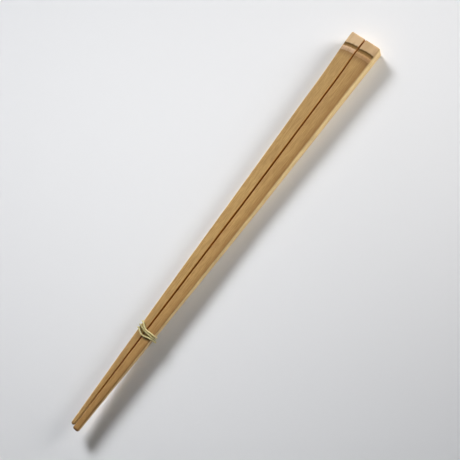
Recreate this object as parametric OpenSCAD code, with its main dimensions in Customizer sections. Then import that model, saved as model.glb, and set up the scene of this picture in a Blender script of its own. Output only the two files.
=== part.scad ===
// Pair of bamboo cooking chopsticks held together by a rubber band, lying as they come to rest.
// X runs along the sticks with the thick heads at +X. Y crosses the pair. Z is up from the floor.
// Inside the functions, x is the distance from the tip of the left stick.

/* [Sticks] */
// Length of the left stick, tip to head
stick_len = 300; // [285:1:360]
// Width of the left stick at the head
left_head_w = 10; // [8.5:0.1:11.5]
// Width of the left stick at the tip
left_tip_w = 2.7; // [2.6:0.1:5]
// Swelling of the left stick's width half way along
left_belly = 0.55; // [0:0.05:0.8]
// Width of the right stick at the head
right_head_w = 11; // [8.5:0.1:11.5]
// Width of the right stick at the tip
right_tip_w = 4.3; // [2.6:0.1:5]
// Swelling of the right stick's width half way along
right_belly = 0.2; // [0:0.05:0.8]
// Thickness of both sticks at the head, which is the culm's wall
head_h = 10.2; // [8:0.1:11]
// Thickness of both sticks at the tip
tip_h = 2.8; // [2.6:0.1:5]
// Swelling of the thickness half way along
face_belly = 0.8; // [0:0.05:0.8]
// Rounding of the two outer long edges at the head
head_edge_r = 0.65; // [0.4:0.05:1.25]
// Rounding of the two outer long edges at the tip
tip_edge_r = 1.15; // [0.5:0.05:1.25]
// Rounding of the two long edges that face the partner
facing_edge_r = 0.5; // [0.2:0.05:0.6]
// Length over which the edges grow rounder toward the tip
round_len = 110; // [40:1:150]
// Rounding of the rim of the head end
head_round = 0.75; // [0.2:0.05:0.8]
// Rounding of the tip end
tip_round = 1.1; // [0.4:0.05:1.1]
// Rise of the tips above the floor, because the underside is planed away toward them
tip_rise = 6.6; // [6:0.1:9]
// Distance from the left tip at which the underside leaves the floor
rest_from = 178; // [150:1:185]
// Play between the facing sides of the two sticks at the heads
head_gap = 0.5; // [0.05:0.01:0.6]
// Play between them at the tips
tip_gap = 0.3; // [0.05:0.01:0.5]
// Extra play half way along, where the sticks bow apart
gap_bow = 0.3; // [0:0.01:0.35]
// Reach of the right tip past the left one
tip_step = 1.6; // [0:0.1:3]

/* [Culm node] */
// Distance of the right stick's groove, above its node, from the head end
groove_at = 8.1; // [7:0.1:16]
// How much further from the head end the left stick's groove is
left_groove_back = 0.6; // [0:0.1:2]
// Width of the groove
groove_w = 1.8; // [1:0.1:2.5]
// Depth of the groove
groove_d = 0.35; // [0.1:0.05:0.5]
// Distance of the node's ridge from the groove
ridge_step = 2.6; // [2:0.1:4]
// Width of the ridge
ridge_w = 2.8; // [1.5:0.1:4]
// Height of the ridge
ridge_h = 0.3; // [0.1:0.05:0.5]
// Slant of the node over the left stick, from its inner edge to its outer edge
left_slant = 1.7; // [-2:0.1:2.5]
// Slant of the node over the right stick, from its inner edge to its outer edge
right_slant = -0.4; // [-2:0.1:2.5]
// Sideways swelling of the right stick at the node, which pushes the left stick over
node_swell = 0.6; // [0:0.1:1]
// Length of stick over which that swelling fades
swell_len = 14; // [8:1:25]

/* [Rubber band] */
// Distance of the band's first strand from the left tip, where it starts over the top
band_at = 75.8; // [50:0.1:80]
// Width of one strand, along the sticks
strand_w = 1.1; // [0.8:0.05:1.1]
// Thickness of one strand
strand_t = 1.1; // [0.8:0.05:1.2]
// Play between a strand and what it lies on
band_play = 0.04; // [0.02:0.01:0.1]
// Spacing of the first strand and the last one where they start over the top
start_spread = 4.5; // [4.5:0.05:5]
// Spacing of the first strand and the last one where they leave the top
end_spread = 2.75; // [2.75:0.05:3.5]
// Drift of the first strand toward the tips on its way over the top
band_lean = 2.95; // [1.5:0.05:3]
// Dip of the first strand toward the tips on its way over the top
first_dip = 1.5; // [0.5:0.05:1.5]
// Dip of the last strand, which lies apart from the others
last_dip = 1.8; // [1:0.05:2]

/* [Hidden] */
arc_n = 4;
top_n = 6;
body_n = 26;
node_n = 24;
end_n = 4;
turns = 3;
edge_n = 8;
bend_n = 5;
ring_n = 8;
lay_step = strand_t + band_play;
side_step = strand_w * 1.09;
middle_dip = first_dip * 0.4;
node_zone = groove_at + left_groove_back + ridge_step + ridge_w + 3;
saw_waste = 1;

function mix(a, b, t) = a + (b - a) * t;
function ease(t) = let (c = min(1, max(0, t))) c * c * (3 - 2 * c);
function bell(d, w) = exp(-pow(2 * d / w, 2));
function unit(v) = v / norm(v);

// The stick's sizes at a distance x from the left tip
function swelled(tip, head, belly, x) =
    let (t = x / stick_len) mix(tip, head, t) + belly * 4 * t * (1 - t);
function left_w(x) = swelled(left_tip_w, left_head_w, left_belly, x);
function right_w(x) = swelled(right_tip_w, right_head_w, right_belly, x);
function high(x) = swelled(tip_h, head_h, face_belly, x);
function edge_r(x) = mix(tip_edge_r, head_edge_r, ease(x / round_len));
function play(x) = swelled(tip_gap, head_gap, gap_bow, x);
function seam(x) = node_swell * bell(x - stick_len + groove_at, 2 * swell_len);

// The undersides lie flat along the head half, and rise from there to the tips
function base_z(x) = tip_rise * pow(max(0, 1 - x / rest_from), 1.15);

// The node's groove and ridge on the skin side: c is 0 at the stick's inner edge and 1 at its outer edge
function node_lift(x, c, slant, back) =
    let (d = stick_len - x - groove_at - back - slant * (c - 0.5) + 0.5 * sin(180 * c))
    ridge_h * bell(d - ridge_step, ridge_w) - groove_d * bell(d, groove_w);

// One section of a stick between y0 and y1, drawn in by inset at the rounded ends
function section(x, y0, y1, inset, slant, back, inner) =
    let (
        a = y0 + inset,
        b = y1 - inset,
        lo = base_z(x) + inset,
        hi = base_z(x) + high(x) - inset,
        outer_r = max(0.15, edge_r(x) - inset),
        facing_r = max(0.15, facing_edge_r - inset),
        ra = inner < (y0 + y1) / 2 ? facing_r : outer_r,
        rb = inner < (y0 + y1) / 2 ? outer_r : facing_r,
        corners = [[b - rb, hi - rb], [a + ra, hi - ra], [a + ra, lo + ra], [b - rb, lo + rb]],
        rounds = [rb, ra, ra, rb],
        top = [for (i = [1:top_n - 1]) [mix(b - rb, a + ra, i / top_n), hi, ra]],
        arcs = [for (k = [0:3]) [for (i = [0:arc_n])
            let (g = 90 * (k + i / arc_n))
            [corners[k][0] + rounds[k] * cos(g), corners[k][1] + rounds[k] * sin(g), rounds[k]]]],
        ring = concat(arcs[0], top, arcs[1], arcs[2], arcs[3])
    )
    [for (p = ring)
        let (
            share = ease((p[1] - hi + p[2]) / p[2]),
            c = abs(p[0] - inner) / (y1 - y0)
        )
        [x, p[0], p[1] + share * node_lift(x, c, slant, back)]];

// Stations along a stick: [distance from the left tip, inset of the section]
function stations(tip_x) = concat(
    [for (i = [0:end_n]) let (g = 90 * (1 - i / end_n))
        [tip_x + tip_round * (1 - sin(g)), tip_round * (1 - cos(g))]],
    [for (i = [1:body_n]) [mix(tip_x + tip_round, stick_len - node_zone, i / body_n), 0]],
    [for (i = [1:node_n]) [mix(stick_len - node_zone, stick_len - head_round, i / node_n), 0]],
    [for (i = [1:end_n]) let (g = 90 * i / end_n)
        [stick_len - head_round * (1 - sin(g)), head_round * (1 - cos(g))]],
    [[stick_len + saw_waste, head_round]]
);

// The pair's middle, which the frame is centred on
probe = [for (i = [0:60]) stick_len - node_zone * 2 * i / 60];
left_edge = max([for (x = probe) seam(x) + play(x) / 2 + left_w(x)]);
right_edge = max([for (x = probe) right_w(x) + play(x) / 2]);
centre = [(stick_len - tip_step) / 2, (left_edge - right_edge) / 2, 0];

// A skin over sections that all have the same number of points
module skin(rings, closed = false) {
    n = len(rings[0]);
    m = len(rings);
    points = [for (r = rings) for (p = r) p];
    walls = [for (i = [0:m - (closed ? 1 : 2)]) for (j = [0:n - 1])
        let (a = i * n, b = ((i + 1) % m) * n, k = (j + 1) % n)
        each [[a + j, b + j, b + k], [a + j, b + k, a + k]]];
    ends = closed ? [] : [[for (j = [0:n - 1]) j], [for (j = [n - 1:-1:0]) (m - 1) * n + j]];
    polyhedron(points = points, faces = concat(walls, ends), convexity = 8);
}

// The head ends are sawn off square together
module saw_cut() {
    translate([stick_len, -2 * right_head_w, -head_h])
        cube([2 * saw_waste, 2 * (left_head_w + right_head_w), 4 * head_h]);
}

module left_stick() {
    color([0.69, 0.56, 0.38])
        translate(-centre)
            difference() {
                skin([for (s = stations(0))
                    let (inner = seam(s[0]) + play(s[0]) / 2)
                    section(s[0], inner, inner + left_w(s[0]), s[1], left_slant, left_groove_back, inner)]);
                saw_cut();
            }
}

module right_stick() {
    color([0.67, 0.53, 0.34])
        translate(-centre)
            difference() {
                skin([for (s = stations(-tip_step))
                    let (inner = seam(s[0]) - play(s[0]) / 2)
                    section(s[0], -right_w(s[0]) - play(s[0]) / 2, inner, s[1], right_slant, 0, inner)]);
                saw_cut();
            }
}

// The band's way round the pair. Travel is over the top to the right, down, back underneath and up the left.
// A stop is [turn, leg + share of the leg, whether it is on a bend].
stops = [for (k = [0:turns - 1]) for (leg = [0:3]) each concat(
    [for (i = [0:edge_n - 1]) [k, leg + 0.7 * i / edge_n, 0]],
    [for (i = [0:bend_n - 1]) [k, leg + 0.7 + 0.3 * i / bend_n, 1]]
)];

// Places of a strand along the sticks where it starts over the top and where it leaves it:
// the middle strand starts half way between the others and crosses over to leave beside the last one
function lane_in(k) = -[0, start_spread * 0.55, start_spread][k % turns];
function lane_out(k) = -band_lean - [0, end_spread - side_step, end_spread][k];
function dip(k, over) = [first_dip, middle_dip, last_dip][k] * over * pow(1 - over, 1.6) / 0.177;
function lane(k, p) =
    let (over = min(1, p / 0.7), under = min(1, max(0, (p - 2) / 0.7)))
    p < 2
        ? mix(lane_in(k), lane_out(k), over) - dip(k, over)
        : mix(lane_out(k), lane_in(k + 1), under);

// The last turn crosses under the other two on its way back to the first
function layer(k, p) = k < turns - 1 ? 0 : ease((p - 1) / 0.7) - ease((p - 2.75) / 0.8);

function on_path(s) =
    let (
        k = s[0],
        leg = floor(s[1]),
        q = s[1] - leg,
        x = band_at + lane(k, s[1]),
        r = edge_r(x),
        y0 = -right_w(x) - play(x) / 2 + r,
        y1 = left_w(x) + play(x) / 2 + seam(x) - r,
        z0 = base_z(x) + r,
        z1 = base_z(x) + high(x) - r,
        corners = [[y1, z1], [y0, z1], [y0, z0], [y1, z0], [y1, z1]],
        g = 90 * (leg + max(0, q - 0.7) / 0.3),
        at = mix(corners[leg], corners[leg + 1], min(1, q / 0.7)),
        out = [-sin(g), cos(g)],
        rise = r + band_play + strand_t / 2 + lay_step * layer(k, s[1])
    )
    [[x, at[0] + rise * out[0], at[1] + rise * out[1]], [0, out[0], out[1]]];

module rubber_band() {
    way = [for (s = stops) on_path(s)];
    n = len(way);
    rings = [for (i = [0:n - 1])
        let (
            along = unit(way[(i + 1) % n][0] - way[(i + n - 1) % n][0]),
            out = unit(way[i][1] - along * (way[i][1] * along)),
            side = cross(out, along)
        )
        [for (j = [0:ring_n - 1])
            let (g = 360 * (j + 0.5) / ring_n, f = cos(180 / ring_n))
            way[i][0] + side * (strand_w / 2 * cos(g) / f) + out * (strand_t / 2 * sin(g) / f)]];
    color([0.80, 0.75, 0.50])
        translate(-centre)
            skin(rings, closed = true);
}

left_stick();
right_stick();
rubber_band();
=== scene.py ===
import math

import bpy
import numpy as np
from mathutils import Matrix, Vector


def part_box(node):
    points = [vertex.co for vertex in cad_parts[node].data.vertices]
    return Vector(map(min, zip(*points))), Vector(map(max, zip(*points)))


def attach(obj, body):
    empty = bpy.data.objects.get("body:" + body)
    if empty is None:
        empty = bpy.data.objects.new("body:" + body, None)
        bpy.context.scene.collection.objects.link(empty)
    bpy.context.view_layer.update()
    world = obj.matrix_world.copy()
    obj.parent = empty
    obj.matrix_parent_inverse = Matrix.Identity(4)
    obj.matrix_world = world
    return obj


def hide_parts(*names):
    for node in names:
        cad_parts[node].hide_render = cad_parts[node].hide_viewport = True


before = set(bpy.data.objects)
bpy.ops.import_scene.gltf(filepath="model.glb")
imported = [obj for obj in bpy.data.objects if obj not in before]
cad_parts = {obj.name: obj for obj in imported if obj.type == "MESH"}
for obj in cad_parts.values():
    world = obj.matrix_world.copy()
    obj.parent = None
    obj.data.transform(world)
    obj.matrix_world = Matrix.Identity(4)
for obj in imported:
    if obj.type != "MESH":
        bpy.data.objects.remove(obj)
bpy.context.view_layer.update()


# Left stick: a strip of bamboo split from the culm and planed to a tapering square, rounder at the tip.
# The culm's node stays near the head, as a groove and a ridge across the skin side, which lies on top.
# Nothing fixes it to the right stick but the band, and its inner side lies along that stick.
stick_len = 300.0
tip_step = 1.6
tip_round, head_round = 1.5, 1.0
head_facing_share, head_outer_share = 0.6, 1.4
tip_gap, head_gap, gap_bow = 0.3, 0.5, 0.3
tip_height, head_height, height_belly = 2.8, 10.2, 0.8
tip_rise, rests_from, rise_curve = 6.6, 178.0, 1.15
tip_edge, head_edge, edge_run = 1.15, 0.65, 110.0
facing_edge, least_edge = 0.5, 0.15
softens_from, softens_over = 60.0, 230.0
node_at, node_swell, node_reach, node_run = 8.1, 0.6, 28.0, 18.5
groove_deep, groove_half, groove_bow = 0.35, 0.85, 0.5
ridge_tall, ridge_wide, ridge_step = 0.27, 2.8, 2.6
left_tip_width, left_head_width, left_belly = 2.7, 10.0, 0.55


def ease(t):
    c = np.clip(t, 0, 1)
    return c * c * (3 - 2 * c)


def bell(distance, width):
    return np.exp(-((2 * distance / width) ** 2))


def swelled(tip, head, belly, x):
    t = x / stick_len
    return tip + (head - tip) * t + belly * 4 * t * (1 - t)


def pair_gap(x):
    return swelled(tip_gap, head_gap, gap_bow, x)


def stick_height(x):
    return swelled(tip_height, head_height, height_belly, x)


def stick_base(x):
    return tip_rise * np.maximum(0, 1 - x / rests_from) ** rise_curve


def edge_round(x):
    return tip_edge - (tip_edge - head_edge) * ease(x / edge_run)


def node_seam(x):
    return node_swell * bell(x - stick_len + node_at, node_reach)


def left_inner(x):
    return node_seam(x) + pair_gap(x) / 2


def left_outer(x):
    return left_inner(x) + swelled(left_tip_width, left_head_width, left_belly, x)


# The solids' boxes say where the left tip's end and the middle of the seam lie in the frame.
solid_tip_round = 1.1
frame_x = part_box("right_stick")[0].x * 1000 + tip_step
frame_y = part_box("left_stick")[0].y * 1000 - pair_gap(solid_tip_round) / 2


def in_frame(points):
    return (points + np.array([frame_x, frame_y, 0.0])) / 1000


# Stations stand closer together at the band and the node. Each has its place along the stick,
# and how far its section is drawn in by the rounding of the two ends.
end_stations = 9
band_from, band_to = 64.0, 80.0
tip_stations, band_stations, body_stations, node_stations = 68, 65, 208, 110


def stick_stations(tip_x):
    turns = np.linspace(0, math.pi / 2, end_stations)
    tip = [(tip_x + tip_round * (1 - math.cos(a)), tip_round * (1 - math.sin(a))) for a in turns]
    head = [(stick_len - head_round * (1 - math.sin(a)), head_round * (1 - math.cos(a)))
            for a in turns[1:]]
    spans = ((tip_x + tip_round, band_from, tip_stations),
             (band_from, band_to, band_stations),
             (band_to, stick_len - node_run, body_stations),
             (stick_len - node_run, stick_len - head_round, node_stations))
    body = [(x, 0.0) for start, end, count in spans for x in np.linspace(start, end, count)[1:]]
    return np.array(tip + body + head)


# A section is a square ring with round corners. Each point has its place in the square, from -1 to 1,
# and the way that it faces.
corner_steps = 8
side_steps = (18, 12, 12, 12)


def section_ring():
    corners = [(1, 1), (-1, 1), (-1, -1), (1, -1)]
    ring = []
    for k, across in enumerate(side_steps):
        here, there = corners[k], corners[(k + 1) % 4]
        for i in range(corner_steps + 1):
            angle = math.radians(90 * (k + i / corner_steps))
            ring.append((*here, math.cos(angle), math.sin(angle)))
        angle = math.radians(90 * (k + 1))
        for i in range(1, across):
            y, z = (here[n] + (there[n] - here[n]) * i / across for n in (0, 1))
            ring.append((y, z, math.cos(angle), math.sin(angle)))
    return np.array(ring).T


# The plane leaves shallow waves of four lengths, which differ a little round the section.
plane_marks = ((74.0, 0.030), (31.0, 0.018), (13.0, 0.010), (5.2, 0.004))
plane_depth, plane_fade = 0.05, 0.3
stroke_spread, plane_turns, full_turn = (0.8, 1.2), (0, 2, 4), 6.28


def planing(x, faces_to, seed):
    rng = np.random.default_rng(seed)
    out = 0 * x
    for length, deep in plane_marks:
        for turns in plane_turns:
            stroke = length * rng.uniform(*stroke_spread)
            start = rng.uniform(0, full_turn)
            out = out + deep * np.sin(2 * np.pi * x / stroke + start + turns * faces_to) / 2
    return out


def ring_faces(count, around, looped):
    i, j = np.meshgrid(np.arange(count if looped else count - 1), np.arange(around), indexing="ij")
    row, next_row = i * around, (i + 1) % count * around
    next_j = (j + 1) % around
    return np.stack([row + next_j, next_row + next_j, next_row + j, row + j], -1).reshape(-1, 4)


def smooth_piece(name, rings, faces, masks):
    mesh = bpy.data.meshes.new(name)
    mesh.from_pydata(in_frame(rings.reshape(-1, 3)).tolist(), [], faces)
    mesh.polygons.foreach_set("use_smooth", [True] * len(mesh.polygons))
    for label, values in masks.items():
        mask = mesh.attributes.new(label, "FLOAT", "POINT")
        mask.data.foreach_set("value", values.astype(np.float32).ravel())
    mesh.update()
    piece = bpy.data.objects.new(name, mesh)
    bpy.context.scene.collection.objects.link(piece)
    return piece


cap_steps = (0.82, 0.55, 0.25, 0.06)


def with_caps(on_wall, shape, on_cap=None):
    on_wall = np.broadcast_to(on_wall, shape)
    cap_shape = (len(cap_steps), shape[1])
    tip_cap, head_cap = (np.broadcast_to(on_wall[row] if on_cap is None else on_cap, cap_shape)
                         for row in (0, -1))
    return np.concatenate([tip_cap, on_wall, head_cap])


# The edges waver as hand work does, and the node's marks have a ragged rim.
hand_waver, hand_long, hand_short = 0.10, 17.0, 5.3
ragged_rim = ((0.10, 23.0, 1.0), (0.06, 61.0, 2.3))

# The masks for the colours: cut ends, skin, painted shade on the outer top edge, and painted shade on
# the wood under and between the band's strands.
end_grain_from, end_grain_over = 0.1, 0.35
skin_outer_from, skin_outer_over = 0.6, 0.35
skin_facing_from, skin_facing_over = 0.25, 0.6
edge_shade_turn, edge_shade_spread = 1.15, 1.3
edge_shade_top_share, edge_shade_top_wide, top_faces = 0.9, 0.85, 0.9
band_shade_tip, band_shade_head, band_shade_edge, band_shade_faces = 69.2, 73.2, 0.7, -0.5
drift_from, drift_tip, drift_head = 1.5, 0.35, 0.45
groove_seen, tip_seen = (-12, 40), (0, 40)


def carve_stick(name, tip_x, inner, outer, groove_at, slant, softened, seed):
    uy, uz, ny, nz = section_ring()
    stations = stick_stations(tip_x)
    x, inset = stations[:, :1], stations[:, 1:]
    outward = 1 if inner(x)[0, 0] < outer(x)[0, 0] else -1
    low_side, high_side = (inner(x), outer(x))[::outward]
    width = high_side - low_side
    foot, top = stick_base(x), stick_base(x) + stick_height(x)

    hand = 1 + hand_waver * np.sin(x / hand_long + seed) * np.sin(x / hand_short + 2 * seed)
    soft = softened * ease((x - softens_from) / softens_over) * (uz + 1) / 2
    facing_r = np.maximum(least_edge, facing_edge * hand - inset)
    outer_r = np.maximum(least_edge, (edge_round(x) + soft) * hand - inset)
    low_r, high_r = (facing_r, outer_r)[::outward]
    near_head = x > stick_len / 2
    facing_in = inset * np.where(near_head, head_facing_share, 1.0)
    outer_in = inset * np.where(near_head, head_outer_share, 1.0)
    low_in, high_in = (facing_in, outer_in)[::outward]
    r = np.where(uy >= 0, high_r, low_r)
    y = low_side + low_in + low_r + (uy + 1) / 2 * (width - low_in - high_in - low_r - high_r) + r * ny
    z = (foot + top) / 2 + uz * ((top - foot) / 2 - inset - r) + r * nz

    across = np.abs(y - inner(x)) / width
    ragged = sum(deep * np.sin(waves * across + lag * seed) for deep, waves, lag in ragged_rim)
    bow = groove_bow * np.sin(math.pi * across)
    from_groove = stick_len - x - groove_at - slant * (across - 0.5) + bow + ragged
    ridge = ridge_tall * bell(from_groove - ridge_step, ridge_wide)
    groove = groove_deep * np.exp(-np.abs(from_groove / groove_half) ** 3)
    on_skin = ease((z - top + inset + r) / r)
    on_flat = np.clip(1 - inset / plane_fade, 0, 1)
    planed = np.minimum((planing(x, np.arctan2(nz, ny), seed) - plane_depth) * on_flat, 0)
    y = y + planed * ny
    z = z + planed * nz + on_skin * (ridge - groove)

    wall = np.stack([np.broadcast_to(x, y.shape), y, z], -1)
    tip_mid, head_mid = wall[0].mean(0), wall[-1].mean(0)
    tip_cap = [tip_mid + (wall[0] - tip_mid) * share for share in cap_steps[::-1]]
    head_cap = [head_mid + (wall[-1] - head_mid) * share for share in cap_steps]
    rings = np.concatenate([tip_cap, wall, head_cap])
    count, around = rings.shape[:2]
    ends = [list(range(around - 1, -1, -1)), list(range((count - 1) * around, count * around))]
    faces = ring_faces(count, around, looped=False).tolist() + ends

    outside = outward * ny > 0
    end_grain = np.clip((inset - end_grain_from) / end_grain_over, 0, 1)
    facing = np.clip(-outward * ny, 0, 1) * (1 - end_grain)
    skin = np.where(outside, ease((nz - skin_outer_from) / skin_outer_over),
                    ease((nz - skin_facing_from) / skin_facing_over))
    # Painted shade: the outer top edge, where it turns away from the window, is marked for a darker
    # colour, along with a strip of the top beside it.
    on_edge = bell(np.arctan2(nz, outward * ny) - edge_shade_turn, edge_shade_spread) * (nz > 0) * outside
    beside_edge = bell(np.abs(y - outer(x)) / width, edge_shade_top_wide) * (nz > top_faces)
    # Painted shade: the wood under and between the band's strands, where their shadow falls, is marked
    # for a dark olive colour.
    drift = np.maximum(0, y - drift_from)
    band_shade = (ease((x - band_shade_tip - drift_tip * drift) / band_shade_edge)
            * ease((band_shade_head + drift_head * drift - x) / band_shade_edge) * (nz > band_shade_faces))
    return smooth_piece(name, rings, faces, {
        "skin": with_caps(skin, y.shape, 0.0),
        "from_groove": with_caps(np.clip(from_groove, *groove_seen), y.shape),
        "end_grain": with_caps(end_grain, y.shape, 1.0),
        "facing": with_caps(facing, y.shape, 0.0),
        "edge_shade": with_caps(np.maximum(on_edge, edge_shade_top_share * beside_edge), y.shape, 0.0),
        "band_shade": with_caps(band_shade, y.shape),
        "from_tip": with_caps(np.clip(x - tip_x, *tip_seen), y.shape)})


def wire(tree, socket, value):
    if isinstance(value, bpy.types.NodeSocket):
        tree.links.new(value, socket)
    else:
        socket.default_value = value


def add(tree, kind, inputs=None, **settings):
    made = tree.nodes.new(kind)
    for key, value in settings.items():
        setattr(made, key, value)
    for key, value in (inputs or {}).items():
        wire(tree, made.inputs[key], value)
    return made


def blend(tree, share, first, second):
    return add(tree, "ShaderNodeMix", {0: share, 6: first, 7: second}, data_type="RGBA").outputs[2]


def ramp(tree, value, lo, hi, to_lo=0.0, to_hi=1.0):
    return add(tree, "ShaderNodeMapRange", {0: value, 1: lo, 2: hi, 3: to_lo, 4: to_hi},
               interpolation_type="SMOOTHSTEP").outputs[0]


def product(tree, first, *others):
    for other in others:
        first = add(tree, "ShaderNodeMath", {0: first, 1: other}, operation="MULTIPLY").outputs[0]
    return first


def stretched(tree, place, by):
    return add(tree, "ShaderNodeVectorMath", {0: place, 1: by}, operation="MULTIPLY").outputs[0]


# A colour is written as levels from 0 to 255 on a screen, and the shader takes linear light.
def linear(level):
    share = level / 255
    return ((share + 0.055) / 1.055) ** 2.4 if share > 0.04045 else share / 12.92


def tone(red, green, blue):
    return (linear(red), linear(green), linear(blue), 1.0)


def effect(name, inputs, outputs):
    tree = bpy.data.node_groups.new(name, "ShaderNodeTree")
    for label in inputs:
        kind = "NodeSocketVector" if label == "Place" else "NodeSocketFloat"
        tree.interface.new_socket(label, in_out="INPUT", socket_type=kind)
    for label in outputs:
        tree.interface.new_socket(label, in_out="OUTPUT", socket_type="NodeSocketFloat")
    return tree, add(tree, "NodeGroupInput").outputs, add(tree, "NodeGroupOutput").inputs


# Fibres: each mark is noise drawn out along the stick. Its row gives how fine it is across and along,
# as shares of the inputs, its detail, and the levels between which it comes in.
fibre_marks = (("Streak", 1.0, 1.0, 3.0, 0.30, 0.70),
               ("Cloud", 0.08, 2.2, 2.0, 0.32, 0.68),
               ("Fleck", 1.5, 5.0, 1.0, 0.62, 0.74),
               ("Dash", 0.62, 4.5, 2.0, 0.36, 0.64))
fibre_rough = 0.6


def bamboo_fibre_effect():
    tree, given, out = effect("bamboo_fibre", ("Place", "Fineness", "Drawn Out"),
                              ("Streak", "Cloud", "Fleck", "Dash"))
    for label, across, along, detail, lo, hi in fibre_marks:
        wide = product(tree, given["Fineness"], across)
        long = product(tree, given["Drawn Out"], along)
        shape = add(tree, "ShaderNodeCombineXYZ", {0: long, 1: wide, 2: wide}).outputs[0]
        drawn = stretched(tree, given["Place"], shape)
        noise = add(tree, "ShaderNodeTexNoise", noise_dimensions="3D", inputs={
            "Vector": drawn, "Scale": 1.0, "Detail": detail, "Roughness": fibre_rough})
        wire(tree, out[label], ramp(tree, noise.outputs[0], lo, hi))
    return tree


# Pores: the cut ends of the fibre bundles, so they don't change along the stick.
pore_core, pore_rim = 0.18, 0.34


def bamboo_pores_effect():
    tree, given, out = effect("bamboo_pores", ("Place", "Per Metre"), ("Pore",))
    cut = stretched(tree, given["Place"], (0.0, 1.0, 1.0))
    cells = add(tree, "ShaderNodeTexVoronoi", {"Vector": cut, "Scale": given["Per Metre"]},
                feature="F1", voronoi_dimensions="3D")
    wire(tree, out["Pore"], ramp(tree, cells.outputs["Distance"], pore_core, pore_rim, 1.0, 0.0))
    return tree


# Node: a pale head beyond the groove, the dark line in it, the pale ridge and painted shade at its foot
# on the tip side.
# Its places are millimetres from the groove, toward the tip.
def culm_node_effect():
    tree, given, out = effect("culm_node", ("From Groove", "Skin", "Streak", "Cloud"),
                              ("Head", "Ridge Foot Shade", "Ridge", "Dark Line"))
    groove, skin = given["From Groove"], given["Skin"]
    head_begins = ramp(tree, groove, 0.3, -0.9, 0.0, 0.85)
    head_on_skin = ramp(tree, skin, 0.0, 1.0, 0.35, 1.0)
    head_clouded = ramp(tree, given["Cloud"], 0.2, 1.0, 1.0, 0.72)
    wire(tree, out["Head"], product(tree, head_begins, head_on_skin, head_clouded))
    # Painted shade at the ridge's foot on the tip side, fading toward the tip.
    foot_begins = ramp(tree, groove, 3.9, 4.6)
    foot_fades = ramp(tree, groove, 4.4, 9.5, 0.55, 0.0)
    wire(tree, out["Ridge Foot Shade"], product(tree, foot_begins, foot_fades, skin))
    ridge_begins = ramp(tree, groove, 0.9, 1.7)
    ridge_ends = ramp(tree, groove, 4.6, 3.9)
    ridge_streaked = ramp(tree, given["Streak"], 0.1, 0.9, 0.6, 1.0)
    wire(tree, out["Ridge"], product(tree, ridge_begins, ridge_ends, skin, ridge_streaked))
    away = add(tree, "ShaderNodeMath", {0: groove}, operation="ABSOLUTE").outputs[0]
    line_in_groove = ramp(tree, away, 1.7, 0.85, 0.0, 0.92)
    wire(tree, out["Dark Line"], product(tree, line_in_groove, skin))
    return tree


# Use and painted shade: hands darken the head half and food the tip half. Painted shade darkens the
# seam and the wood under the band, and the tip ends take a darkening that is partly painted shade and
# partly stain. Places along the stick are metres in the frame, and From Tip is in millimetres.
def use_and_painted_shade_effect():
    tree, given, out = effect(
        "use_and_painted_shade", ("Place", "Skin", "Facing", "From Tip", "Band Shade", "Dip Share"),
        ("Held", "Dipped", "Seam Edge Shade", "Seam Side Shade", "Tip End Shade And Stain", "Painted Band Shade"))
    facing, from_tip = given["Facing"], given["From Tip"]
    along = add(tree, "ShaderNodeSeparateXYZ", {0: given["Place"]}).outputs[0]
    grip = ramp(tree, along, 0.02, 0.14, 0.0, 0.15)
    grip_on_skin = ramp(tree, given["Skin"], 0.0, 1.0, 0.55, 1.0)
    wire(tree, out["Held"], product(tree, grip, grip_on_skin))
    toward_tip = ramp(tree, along, -0.02, -0.150)
    wire(tree, out["Dipped"], product(tree, toward_tip, given["Dip Share"]))
    # Painted shade: the facing edges and sides along the seam take a dark brown, as the narrow crevice
    # between the sticks is shaded, less toward the tips.
    edge = ramp(tree, facing, 0.0, 0.5, 0.0, 0.7)
    edge_past_tip = ramp(tree, from_tip, 6.0, 30.0, 0.2, 1.0)
    wire(tree, out["Seam Edge Shade"], product(tree, edge, edge_past_tip))
    side = ramp(tree, facing, 0.35, 0.85)
    side_past_tip = ramp(tree, from_tip, 8.0, 40.0, 0.04, 0.92)
    wire(tree, out["Seam Side Shade"], product(tree, side, side_past_tip))
    # The last two millimetres of each tip darken: partly painted shade of the rounded end, partly
    # stain.
    wire(tree, out["Tip End Shade And Stain"], ramp(tree, from_tip, 2.0, 0.2, 0.0, 0.62))
    # Painted shade under and between the band's strands.
    wire(tree, out["Painted Band Shade"], ramp(tree, given["Band Shade"], 0.0, 1.0, 0.0, 0.7))
    return tree


bamboo_fibre = bamboo_fibre_effect()
bamboo_pores = bamboo_pores_effect()
culm_node = culm_node_effect()
use_and_painted_shade = use_and_painted_shade_effect()
fibre_fineness, fibre_drawn_out, pores_per_metre = 2600.0, 38.0, 1500.0
cloud_share, fleck_share, dark_dash_share, pale_dash_share = 0.22, 0.30, 0.18, 0.11
dark_grain_rough, pale_grain_rough = 0.58, 0.46
grain_bump, grain_deep = 0.35, 0.00006


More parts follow.
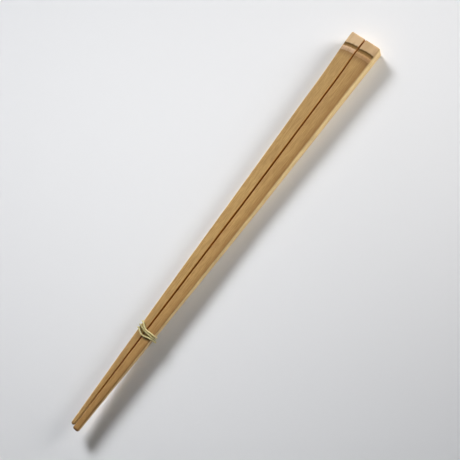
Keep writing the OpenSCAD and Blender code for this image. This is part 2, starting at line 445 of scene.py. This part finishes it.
def bamboo(name, skin_light, skin_dark, flesh_light, flesh_dark, head_pale, ridge_pale,
           edge_shade_share, dip_share):
    material = bpy.data.materials.new(name)
    material.use_nodes = True
    tree = material.node_tree
    shader = tree.nodes["Principled BSDF"].inputs
    place = add(tree, "ShaderNodeTexCoord").outputs["Object"]
    skin, from_groove, end_grain, facing, edge_shade, band_shade, from_tip = (
        add(tree, "ShaderNodeAttribute", attribute_name=label).outputs["Fac"]
        for label in ("skin", "from_groove", "end_grain", "facing", "edge_shade", "band_shade", "from_tip"))
    fibre = add(tree, "ShaderNodeGroup", node_tree=bamboo_fibre, inputs={
        "Place": place, "Fineness": fibre_fineness, "Drawn Out": fibre_drawn_out}).outputs
    pores = add(tree, "ShaderNodeGroup", node_tree=bamboo_pores, inputs={
        "Place": place, "Per Metre": pores_per_metre}).outputs
    node = add(tree, "ShaderNodeGroup", node_tree=culm_node, inputs={
        "From Groove": from_groove, "Skin": skin,
        "Streak": fibre["Streak"], "Cloud": fibre["Cloud"]}).outputs
    use = add(tree, "ShaderNodeGroup", node_tree=use_and_painted_shade, inputs={
        "Place": place, "Skin": skin, "Facing": facing, "From Tip": from_tip,
        "Band Shade": band_shade, "Dip Share": dip_share}).outputs

    skin_tone = blend(tree, fibre["Streak"], skin_dark, skin_light)
    # The split sides take the flesh tones: paler than the skin, as bamboo's flesh is, and painted paler
    # still to stand in for the light falling on the sides.
    flesh_tone = blend(tree, fibre["Streak"], flesh_dark, flesh_light)
    colour = blend(tree, skin, flesh_tone, skin_tone)
    clouds = ramp(tree, fibre["Cloud"], 0.0, 1.0, 0.0, cloud_share)
    flecks = ramp(tree, fibre["Fleck"], 0.0, 1.0, 0.0, fleck_share)
    dark_dashes = ramp(tree, fibre["Dash"], 0.4, 1.0, 0.0, dark_dash_share)
    pale_dashes = ramp(tree, fibre["Dash"], 0.6, 0.0, 0.0, pale_dash_share)
    # Painted shade on the outer top edge; only the right stick takes it.
    painted_edge_shade = ramp(tree, edge_shade, 0.0, 1.0, 0.0, edge_shade_share)
    open_pores = product(tree, pores["Pore"], end_grain)
    for share, shade in ((clouds, tone(146, 108, 62)),
                         (flecks, tone(128, 90, 48)),
                         (dark_dashes, tone(128, 88, 44)),
                         (pale_dashes, tone(222, 186, 122)),
                         (painted_edge_shade, tone(144, 102, 54)),
                         (use["Held"], tone(130, 100, 62)),
                         (node["Head"], head_pale),
                         # painted shade at the ridge's foot
                         (node["Ridge Foot Shade"], tone(128, 90, 52)),
                         (node["Ridge"], ridge_pale),
                         (node["Dark Line"], tone(108, 76, 26)),
                         (use["Dipped"], tone(140, 90, 46)),
                         # painted shade in the seam
                         (use["Seam Edge Shade"], tone(178, 126, 36)),
                         (use["Seam Side Shade"], tone(160, 86, 2)),
                         # tip ends: partly painted shade, partly stain
                         (use["Tip End Shade And Stain"], tone(100, 62, 30)),
                         # painted shade under the band
                         (use["Painted Band Shade"], tone(88, 72, 22)),
                         (open_pores, tone(140, 98, 56))):
        colour = blend(tree, share, colour, shade)
    wire(tree, shader["Base Color"], colour)
    roughness = ramp(tree, fibre["Streak"], 0.0, 1.0, dark_grain_rough, pale_grain_rough)
    wire(tree, shader["Roughness"], roughness)
    wire(tree, shader["Specular IOR Level"], 0.35)
    bump = add(tree, "ShaderNodeBump", {
        "Strength": grain_bump, "Distance": grain_deep, "Height": fibre["Streak"]})
    wire(tree, shader["Normal"], bump.outputs[0])
    return material


left_stick = carve_stick("left_stick_carved", 0.0, left_inner, left_outer,
                         groove_at=8.7, slant=1.7, softened=0.0, seed=11)
left_stick.data.materials.append(bamboo(
    "left_bamboo", skin_light=tone(194, 158, 98), skin_dark=tone(175, 136, 78),
    flesh_light=tone(240, 216, 170), flesh_dark=tone(228, 200, 150),
    head_pale=tone(214, 182, 142), ridge_pale=tone(206, 170, 136), edge_shade_share=0.0, dip_share=0.24))
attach(left_stick, "root")
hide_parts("left_stick")


# Right stick: the partner, bamboo split from beside the left one, so its node lines up with that one's.
# It is a little stouter, its node swells toward its partner, and its tip reaches slightly further.
# It is planed and sanded in the same way, and nothing but the band holds it.
right_tip_width, right_head_width, right_belly = 4.3, 11.0, 0.2


def right_inner(x):
    return node_seam(x) - pair_gap(x) / 2


def right_outer(x):
    return -swelled(right_tip_width, right_head_width, right_belly, x) - pair_gap(x) / 2


right_stick = carve_stick("right_stick_carved", -tip_step, right_inner, right_outer,
                          groove_at=8.1, slant=-0.4, softened=1.0, seed=29)
right_stick.data.materials.append(bamboo(
    "right_bamboo", skin_light=tone(192, 154, 93), skin_dark=tone(171, 131, 73),
    flesh_light=tone(242, 217, 160), flesh_dark=tone(230, 201, 140),
    head_pale=tone(206, 173, 131), ridge_pale=tone(178, 138, 94), edge_shade_share=0.62, dip_share=0.30))
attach(right_stick, "root")
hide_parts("right_stick")


# Rubber band: one closed loop of soft pale rubber, wound three times round both sticks.
# Its strands drift toward the tips over the top, where the middle one leaves the first for the last.
# The last turn crosses under the other two on its way back, clear of the floor.
band_at = 75.8
strand_w, strand_t = 1.1, 1.1
strand_square = 3.2
side_step, band_play = 1.2, 0.04
start_spread, end_spread, band_lean = 4.5, 2.75, 2.95
middle_start = 0.55
top_dips, dip_fall, dip_peak = (1.5, 0.6, 1.8), 1.6, 0.177
climbs_at, climbs_over, drops_at, drops_over = 1.0, 0.7, 2.75, 0.8
thinned, thin_places = 0.05, 9
turn_light_levels = (1.0, 0.62, 0.78, 1.0)
strand_lit_low, strand_lit_over = 0.25, 0.95
flat_share = 0.7
flat_steps, bend_steps, strand_sides = 22, 12, 20


def lane_in(k):
    return -(0, start_spread * middle_start, start_spread)[k % 3]


def lane_out(k):
    return -band_lean - (0, end_spread - side_step, end_spread)[k]


# Turn k at p legs round the pair, from 0 at the upper left corner: over the top, down the right side,
# back underneath and up the left side. Each leg is a flat run and then a bend.
def band_point(k, p):
    over, under = min(1, p / flat_share), min(1, max(0, (p - 2) / flat_share))
    if p < 2:
        dip = top_dips[k] * over * (1 - over) ** dip_fall / dip_peak
        lane = lane_in(k) + (lane_out(k) - lane_in(k)) * over - dip
    else:
        lane = lane_out(k) + (lane_in(k + 1) - lane_out(k)) * under
    layer = ease((p - climbs_at) / climbs_over) - ease((p - drops_at) / drops_over) if k == 2 else 0.0
    x = band_at + lane
    r = edge_round(x)
    y0, y1 = right_outer(x) + r, left_outer(x) - r
    z0, z1 = stick_base(x) + r, stick_base(x) + stick_height(x) - r
    corners = ((y1, z1), (y0, z1), (y0, z0), (y1, z0), (y1, z1))
    leg = int(p)
    on_leg = p - leg
    run = min(1, on_leg / flat_share)
    angle = math.radians(90 * (leg + max(0, on_leg - flat_share) / (1 - flat_share)))
    out = (-math.sin(angle), math.cos(angle))
    rise = r + band_play + strand_t / 2 + (strand_t + band_play) * float(layer)
    at = [corners[leg][i] + (corners[leg + 1][i] - corners[leg][i]) * run for i in (0, 1)]
    return (x, at[0] + rise * out[0], at[1] + rise * out[1]), (0.0, out[0], out[1])


flat_run = [flat_share * i / flat_steps for i in range(flat_steps)]
bend_run = [flat_share + (1 - flat_share) * i / bend_steps for i in range(bend_steps)]
stops = [(k, leg + s) for k in range(3) for leg in range(4) for s in flat_run + bend_run]
path, outward = (np.array(part) for part in zip(*(band_point(k, p) for k, p in stops)))
along = np.roll(path, -1, 0) - np.roll(path, 1, 0)
along /= np.linalg.norm(along, axis=1)[:, None]
outward -= along * (outward * along).sum(1)[:, None]
outward /= np.linalg.norm(outward, axis=1)[:, None]
sideways = np.cross(outward, along)
turn = np.linspace(0, 2 * np.pi, strand_sides, endpoint=False)
squared = np.abs(np.cos(turn)) ** strand_square + np.abs(np.sin(turn)) ** strand_square
strand_reach = squared ** (-1 / strand_square)
wave = np.sin(np.arange(len(path)) * 2 * np.pi * thin_places / len(path))
pull = 1 - thinned * (0.5 + 0.5 * wave)
across = (strand_w / 2 * strand_reach * np.cos(turn))[None, :, None] * pull[:, None, None]
upward = (strand_t / 2 * strand_reach * np.sin(turn))[None, :, None] * pull[:, None, None]
rings = path[:, None] + sideways[:, None] * across + outward[:, None] * upward
# The strand's rings run the other way round from a stick's, so the faces are turned over.
faces = ring_faces(len(path), strand_sides, looped=True)[:, [2, 1, 0, 3]].tolist()
# Painted light and shade: each strand is pale on the face turned away from the sticks and dark olive
# against the wood and on its flanks, where shade falls. The second and third turns are painted dimmer
# than the first.
turn_light = np.array([turn_light_levels[k] * min(1, 4 - p) + turn_light_levels[k + 1] * max(0, p - 3)
                  for k, p in stops])
strand_lit = turn_light[:, None] * ease((np.sin(turn) + strand_lit_low) / strand_lit_over)
rubber_band = smooth_piece("rubber_band_wound", rings, faces, {"strand_lit": strand_lit})

rubber = bpy.data.materials.new("pale_rubber")
rubber.use_nodes = True
tree = rubber.node_tree
shader = tree.nodes["Principled BSDF"].inputs
place = add(tree, "ShaderNodeTexCoord").outputs["Object"]
mottle = add(tree, "ShaderNodeTexNoise", noise_dimensions="3D", inputs={
    "Vector": place, "Scale": 900.0, "Detail": 3.0}).outputs[0]
pale = blend(tree, ramp(tree, mottle, 0.3, 0.7), tone(206, 192, 132), tone(232, 219, 164))
strand_lit_seen = add(tree, "ShaderNodeAttribute", attribute_name="strand_lit").outputs["Fac"]
# Painted shade and light: dark olive where the strand is turned to the wood, pale on its outer face.
wire(tree, shader["Base Color"], blend(tree, strand_lit_seen, tone(96, 84, 28), pale))
wire(tree, shader["Roughness"], 0.3)
wire(tree, shader["Specular IOR Level"], 0.6)
wire(tree, shader["Subsurface Weight"], 0.12)
wire(tree, shader["Subsurface Radius"], (0.0012, 0.0010, 0.0005))
wire(tree, shader["Subsurface Scale"], 0.5)
rubber_band.data.materials.append(rubber)
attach(rubber_band, "root")
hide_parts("rubber_band")


# Floor: a plain pale sheet that the pair lies on, far larger than the picture.
# It is matt, and only takes the soft shadow.
floor_half = 3.0
floor_corners = [(x * floor_half, y * floor_half, 0) for x, y in ((-1, -1), (1, -1), (1, 1), (-1, 1))]
floor_mesh = bpy.data.meshes.new("pale_floor")
floor_mesh.from_pydata(floor_corners, [], [(0, 1, 2, 3)])
floor = bpy.data.objects.new("pale_floor", floor_mesh)
bpy.context.scene.collection.objects.link(floor)
sheet = bpy.data.materials.new("pale_sheet")
sheet.use_nodes = True
shader = sheet.node_tree.nodes["Principled BSDF"].inputs
wire(sheet.node_tree, shader["Base Color"], (0.80, 0.80, 0.805, 1.0))
wire(sheet.node_tree, shader["Roughness"], 0.8)
wire(sheet.node_tree, shader["Specular IOR Level"], 0.2)
floor_mesh.materials.append(sheet)


# Light: one wide soft window on the pair's left, toward the heads, with a small pool of its light by
# the tips. It throws the soft shadow to the right. A low warm fill beyond the heads' right lightens
# the shadow there, and the room adds a faint even warmth.
def soft_lamp(name, aim_x, bearing, height, reach, wide, high, watts, colour, spread):
    lamp = bpy.data.lights.new(name, "AREA")
    lamp.shape = "ELLIPSE"
    lamp.size, lamp.size_y = wide, high
    lamp.spread = math.radians(spread)
    lamp.energy = watts
    lamp.color = colour
    holder = bpy.data.objects.new(name, lamp)
    b, h = math.radians(bearing), math.radians(height)
    away = Vector((math.cos(b) * math.cos(h), math.sin(b) * math.cos(h), math.sin(h)))
    holder.location = away * reach + Vector((aim_x, 0.0, 0.0))
    holder.rotation_mode = "QUATERNION"
    holder.rotation_quaternion = (-away).to_track_quat("-Z", "Y")
    bpy.context.scene.collection.objects.link(holder)


soft_lamp("window", aim_x=0.0, bearing=67.0, height=30.0, reach=3.0, wide=1.40, high=0.92,
          watts=92.5, colour=(0.975, 1.0, 1.045), spread=180.0)
soft_lamp("low_fill", aim_x=0.155, bearing=-39.0, height=24.0, reach=0.60, wide=0.44, high=0.44,
          watts=0.54, colour=(1.0, 0.98, 0.955), spread=42.0)
soft_lamp("window_near", aim_x=-0.09, bearing=67.0, height=28.0, reach=1.2, wide=0.30, high=0.30,
          watts=0.066, colour=(0.98, 1.0, 1.03), spread=16.0)
room = bpy.data.worlds.new("even_room")
room.use_nodes = True
room_light = room.node_tree.nodes["Background"].inputs
wire(room.node_tree, room_light["Color"], (1.0, 0.95, 0.87, 1.0))
wire(room.node_tree, room_light["Strength"], 0.05)
bpy.context.scene.world = room


# Camera: a long lens above the right side of the pair, fitted to the sticks' edges in the photograph.
# It looks down steeply and is turned so that the pair lies on the diagonal, heads at the upper right.
focal_pixels, picture_pixels = 1100, 460
bearing, height, roll = (math.radians(v) for v in (-12.02, 72.45, -41.33))
aim, reach = Vector((0.00416, -0.00248, 0.005)), 0.6841
eye = bpy.data.cameras.new("eye")
eye.sensor_width = 36.0
eye.lens = focal_pixels / picture_pixels * eye.sensor_width
eye.clip_start, eye.clip_end = 0.05, 20.0
camera = bpy.data.objects.new("eye", eye)
level = math.cos(height)
back = Vector((math.sin(bearing) * level, -math.cos(bearing) * level, math.sin(height)))
right = Vector((math.cos(bearing), math.sin(bearing), 0.0))
up = back.cross(right)
right, up = math.cos(roll) * right + math.sin(roll) * up, math.cos(roll) * up - math.sin(roll) * right
turned = Matrix((right, up, back)).transposed().to_4x4()
camera.matrix_world = Matrix.Translation(aim + back * reach) @ turned
bpy.context.scene.collection.objects.link(camera)
bpy.context.scene.camera = camera
bpy.context.scene.view_settings.view_transform = "Standard"
